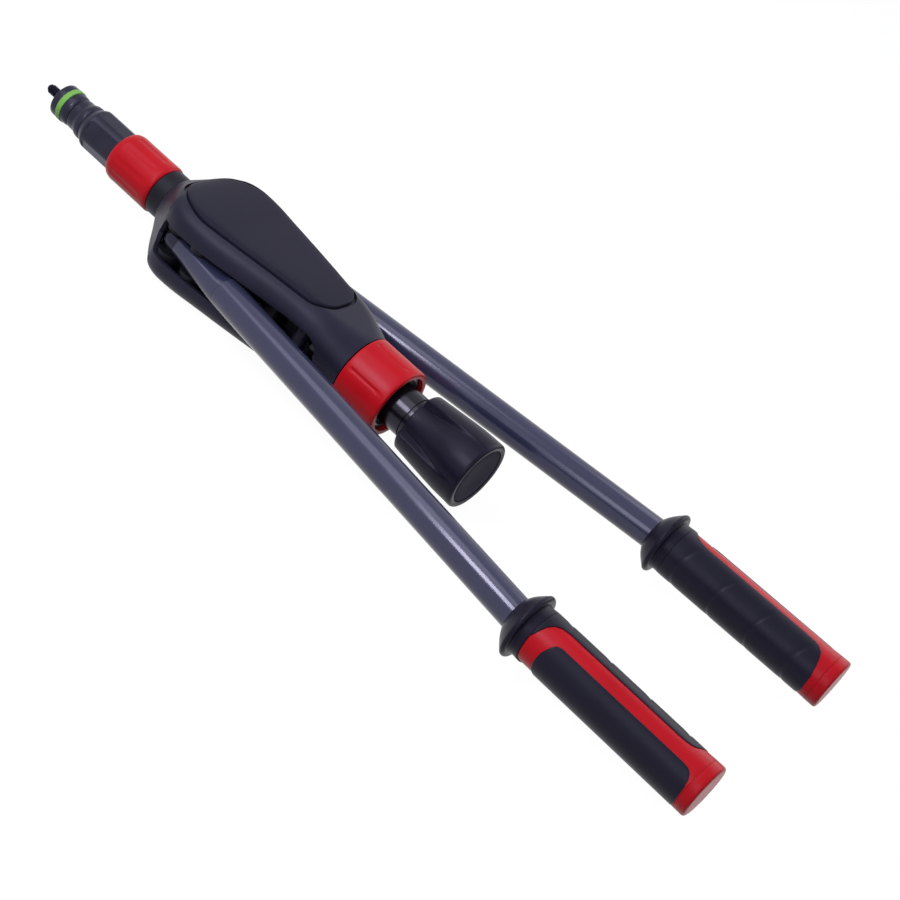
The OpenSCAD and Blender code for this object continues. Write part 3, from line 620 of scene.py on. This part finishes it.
def placed(shape, side, on_grip=False):
    """Puts a shape made along X at an arm's pivot, or at its flange behind the bend."""
    place = Matrix.Diagonal((1, 1 if side == "right" else -1, 1, 1))
    place @= Matrix.Translation((pivot_x, pivot_y, 0))
    place @= Matrix.Rotation(math.radians(rest_angles[side]), 4, "Z")
    if on_grip:
        place @= Matrix.Translation((flange_x, 0, 0)) @ Matrix.Rotation(-bend_angle, 4, "Z")
    bmesh.ops.transform(shape, matrix=place, verts=shape.verts)
    return shape


def bent(point):
    """Where a point of a straight bar goes when the bar is bent at the flange."""
    past = point.x - bend_from
    if past <= 0:
        return point
    turn = min(past / bend_r, bend_angle)
    rest, reach = past - turn * bend_r, bend_r + point.y
    return Vector((bend_from + reach * math.sin(turn) + rest * math.cos(turn),
                   reach * math.cos(turn) - bend_r - rest * math.sin(turn), point.z))


tip_r = eye_rows[1][1]
round_end = [(-tip_r * math.cos(turn), tip_r * math.sin(turn))
             for turn in (math.pi / 2 * k / 12 for k in range(13))]
bend_places = [bend_from + bend_r * bend_angle * k / 10 for k in range(11)]
for side in rest_angles:
    shape = turned(round_end + [(x, between(x, eye_rows, 1)) for x in range(2, eye_end, 2)] +
                   [(eye_end, tube_r), (eye_end, tube_bore - 0.01), (spigot_end, tube_bore - 0.01),
                    (spigot_end, 0)])
    for vert in shape.verts:
        if vert.co.x < tube_from:
            flat = between(vert.co.x, eye_rows, 2)
            vert.co.z /= (1 + abs(vert.co.z / flat) ** eye_square) ** (1 / eye_square)
    bmesh.ops.remove_doubles(shape, verts=shape.verts, dist=merge_distance)
    bmesh.ops.recalc_face_normals(shape, faces=shape.faces)
    shape = carved(shape, post(0, 0, -10, 10, pin_hole_r), post(crank, 0, -10, 10, link_hole_r))
    # The eye's front, up to paint_from, is a separate piece in black steel: painted shade for the dark front
    # of the slot.
    painted_shade_tip = shape.copy()
    for part, kept in ((shape, 1), (painted_shade_tip, -1)):
        bmesh.ops.bisect_plane(part, geom=part.verts[:] + part.edges[:] + part.faces[:], dist=0.0001,
                               plane_co=(paint_from, 0, 0), plane_no=(kept, 0, 0), clear_inner=True)
        bmesh.ops.holes_fill(part, edges=[e for e in part.edges if e.is_boundary])
    settle(placed(shape, side), side + "_arm_eye", side + "_arm", "arm_paint", arm_paint, side + "_head")
    settle(placed(painted_shade_tip, side), side + "_eye_tip", side + "_arm", "black_steel", black_steel)
    shape = turned([(tube_from, tube_bore), (tube_from, tube_r, 0.12), *((x, tube_r) for x in bend_places),
                    (tube_to, tube_r), (tube_to, tube_bore), *((x, tube_bore) for x in bend_places[::-1])])
    for vert in shape.verts:
        vert.co = bent(vert.co)
    settle(placed(shape, side), side + "_arm_tube", side + "_arm", "arm_paint", arm_paint, side + "_tube")

# Hand flanges: a guard of black plastic in front of each hand, coned in front and dished behind,
# moulded in one with the short sleeve behind it. Its bore follows the bend of the tube.
black_plastic = finish("black_plastic", (0.011, 0.009, 0.021), 0.32, grain=0.35, relief=0.012, mottle=0.08,
                       specular=0.12)
for side in rest_angles:
    shape = turned([(-8.2, 9.56), (-8.2, 10, 0.2), (-5.8, 13.8, 2), (-1.8, 17.8, 2),
                    (0, 19.45, 0.7), (1.6, 19.45, 0.8), (2.6, 18.2, 0.7), (2.6, 15.7, 0.9), (5, 15.3),
                    (7.9, 15.5, 0.1), (7.9, 9.56)], steps=128)
    for vert in shape.verts:
        ahead = max(0, flange_x - bend_from - vert.co.x)
        curved = min(ahead, bend_r * bend_angle)
        vert.co.y -= curved ** 2 / (2 * bend_r) + (ahead - curved) * math.tan(bend_angle)
    settle(placed(shape, side, True), side + "_hand_guard", side + "_arm", "black_plastic", black_plastic,
           side + "_flange")

# Grips: a hard red shell on the tube, with a black panel moulded on its outer side and a softer
# black rubber round its inner side, grooved for the fingers. Red shows as a strip above and below.
grip_r, grip_bore, grip_from, grip_to, soft_deep, soft_proud = 14.95, 9.55, 7.95, 112.95, 1.6, 0.6
# Angles in degrees of the middles of the panel and the rubber.
soft_middles = {"left": (82, 262), "right": (83, 273)}
panel_half, rubber_half = (math.radians(a) * grip_r for a in (58, 87))
soft_black = finish("soft_black", (0.011, 0.010, 0.021), 0.36, grain=0.4, relief=0.035, mottle=0.08,
                    specular=0.14)
groove_at, groove_pitch, groove_depth, groove_bow = 15.4, 26.1, 0.45, 0.014
groove_behind, groove_ahead, groove_end = 1.7, 5, 3


def wrapped(shape, middle):
    """Bends a flat pad round the grip. Its middle line lies at an angle from straight down, counted
    through the outer side."""
    for vert in shape.verts:
        turn = math.radians(middle) + vert.co.y / grip_r
        reach = grip_r + vert.co.z
        vert.co = (vert.co.x, reach * math.sin(turn), -reach * math.cos(turn))
    return shape


def mirrored(corner):
    """An outline of points at places along X and distances in from an edge, for both edges."""
    return [(x, -d) for x, d in corner] + [(x, d) for x, d in corner[::-1]]


rubber_end = ((7.95, rubber_half + 15.5), (8.9, rubber_half + 13.5), (11, rubber_half + 7.2),
              (13.4, rubber_half + 3.2), (16.8, rubber_half + 0.9), (21.5, rubber_half),
              (93, rubber_half), (98, rubber_half - 0.3), (101.5, rubber_half - 1.3),
              (103.8, rubber_half - 3.4), (105.4, rubber_half - 6.5), (107, rubber_half - 11.2),
              (108.5, rubber_half - 17.5))
panel_front = ((19.6, panel_half - 3.6), (21.4, panel_half - 1), (24.6, panel_half))
panel_end = ((103.5, panel_half), (107.4, panel_half - 0.4), (109.8, panel_half - 1.9),
             (111.4, panel_half - 4.6), (112.4, panel_half - 9), (112.6, panel_half - 14))
for side in rest_angles:
    shape = turned([(grip_from, grip_bore), (grip_from, grip_r - 0.1, 0.25), (60, grip_r),
                    (104, grip_r + 0.1), (110, 15.35), (grip_to, 15.45, 0.2), (grip_to, grip_bore)],
                   steps=128)
    settle(placed(shape, side, True), side + "_grip_shell", side + "_arm", "red_plastic", red_plastic,
           side + "_grip_core")
    panel_at, rubber_at = soft_middles[side]
    outline = mirrored(((17.2, panel_half - 14), (17.6, panel_half - 9)) + panel_front + panel_end)
    settle(placed(wrapped(pad(outline, -soft_deep, soft_proud, 0.45, (2, 2)), panel_at), side, True),
           side + "_palm_panel", side + "_arm", "soft_grip", soft_black, side + "_grip_panel", crease=50)
    shape = pad(mirrored(rubber_end), -soft_deep, soft_proud, 0.4, (0.65, 1.3))
    for vert in shape.verts:
        if vert.co.z > -soft_deep / 2:
            past = (vert.co.x - groove_at - groove_bow * vert.co.y ** 2) % groove_pitch
            ahead = groove_pitch - past
            dip = max(0, 1 - past / groove_behind) ** 2 + max(0, 1 - ahead / groove_ahead) ** 2
            fade = max(0, 1 - (vert.co.y / (rubber_half - groove_end)) ** 4) * (10 < vert.co.x < 104)
            vert.co.z -= groove_depth * dip * fade
    settle(placed(wrapped(shape, rubber_at), side, True), side + "_finger_rubber", side + "_arm",
           "soft_grip", soft_black, side + "_grip_rubber", crease=50)
    shape = turned([(113, grip_bore), (113, 15.45, 0.12), (116, 15.5), (119.45, 15.5, 1.5),
                    (119.45, 12), (119.45, 0), (115.6, 0), (115.6, grip_bore)], steps=128)
    settle(placed(shape, side, True), side + "_grip_end", side + "_arm", "red_plastic", red_plastic,
           side + "_end_cap")

# Stroke ring: the red moulded ring at the back of the casing. Turning it screws the stop sleeve along
# the tail tube. Six narrow grooves run along it, short of its back edge, and the polished black tail
# tube, stop sleeve and knob stem show behind it.
ring_x, ring_end, ring_r = 264, 294.6, 21.7
ring_grooves, ring_groove_r, ring_groove_out, ring_groove_turn = 6, 1.9, 1.2, math.radians(4)
shape = turned([(ring_x, 15.65), (ring_x, ring_r, 0.7),
                *((ring_x + d, ring_r) for d in (2.8, 3.6, 4.4, 5.2, 21, 22.5, 23.8, 25.1)),
                (ring_end - 2, ring_r), (ring_end - 0.4, ring_r - 0.3, 0.6), (ring_end, ring_r - 1.2, 0.3),
                (ring_end, 18.1, 0.5), (267, 18.1), (267, 15.65)], steps=540)
flute(shape, ring_grooves, ring_groove_r, ring_r + ring_groove_out, ring_x + 2.9, ring_end - 5.5,
      turn=ring_groove_turn, runout=1.6)
settle(shape, "red_stroke_ring", "stroke_ring", "red_plastic", red_plastic, "stroke_ring", crease=30)
shaft_black = finish("shaft_black", (0.006, 0.006, 0.009), 0.20, metal=0.2, grain=0.5, relief=0.006,
                     mottle=0.2, lines="round", specular=0.4)
dress(shaft_black, "tail_tube", "stop_sleeve", "knob_stem")

# Knob: moulded black plastic on a steel stem. A core flares to the back, and three wings with blunt
# front ends stand off it for the fingers; a pressed-in cap closes the flat back.
knob_x, knob_end, knob_r, stem_r = 309, 355.2, 21.8, 5.05
core_rows = ((305, 13.3), (315, 14.2), (325, 16.4), (334, 19), (340, 20.4), (346, 21.2), (352, 21.6),
             (356, 21.7))
wings, wing_turn, wing_half, wing_soft = 3, 6.2, 22, 3.2
shape = turned([(305.75, stem_r), (305.75, 12.7, 0.2), (knob_x - 0.72, 12.7), (knob_x - 0.72, stem_r)])
settle(shape, "knob_spacer", "spindle", "black_steel", shaft_black)
cap_black = finish("cap_black", (0.013, 0.010, 0.030), 0.50, grain=0.35, relief=0.012, mottle=0.08,
                   specular=0.03)
shape = turned([(knob_x - 0.7, stem_r), (knob_x - 0.7, 13.1, 0.2), (knob_x - 0.1, 13.6), (knob_x, 15),
                (knob_x, 16.9), (knob_x + 0.25, 17.7), (knob_x + 0.8, 18.3),
                (knob_x + 1.6, 18.6), (313, 18.9), (316, 19.2), (319, 19.5), (322, 19.8), (325, 20.1),
                (328, 20.4), (331, 20.7), (334, 21), (337, 21.25),
                (340, 21.5), (343, 21.7), (347, knob_r), (351, knob_r), (353, knob_r), (354, knob_r - 0.2),
                (354.8, knob_r - 0.7), (knob_end, knob_r - 1.4), (knob_end, 19.4), (354.9, 18.4),
                (354.75, 17.9), (353, 17.8), (353, 9.4), (344, 9.4), (344, stem_r)], steps=360)
for vert in shape.verts:
    reach = vert.co.yz.length
    core = between(vert.co.x, core_rows, 1)
    if reach > core and vert.co.x < knob_end - 0.4:
        turn = math.degrees(math.atan2(vert.co.y, vert.co.z)) - wing_turn
        off = abs((turn + 180 / wings) % (360 / wings) - 180 / wings)
        share = min(1, max(0, (wing_half + wing_soft - off) / (2 * wing_soft)))
        vert.co.yz = vert.co.yz * ((core + (reach - core) * eased(share)) / reach)
settle(shape, "grip_knob", "spindle", "black_plastic", black_plastic, "knob", crease=45)
shape = turned([(353.5, 0), (353.5, 17.7), (354.5, 17.7, 0.3), (354.65, 14, 1), (354.3, 7, 1), (354.15, 0)])
settle(shape, "knob_end_cap", "spindle", "black_plastic", cap_black, "knob_cap", crease=40)
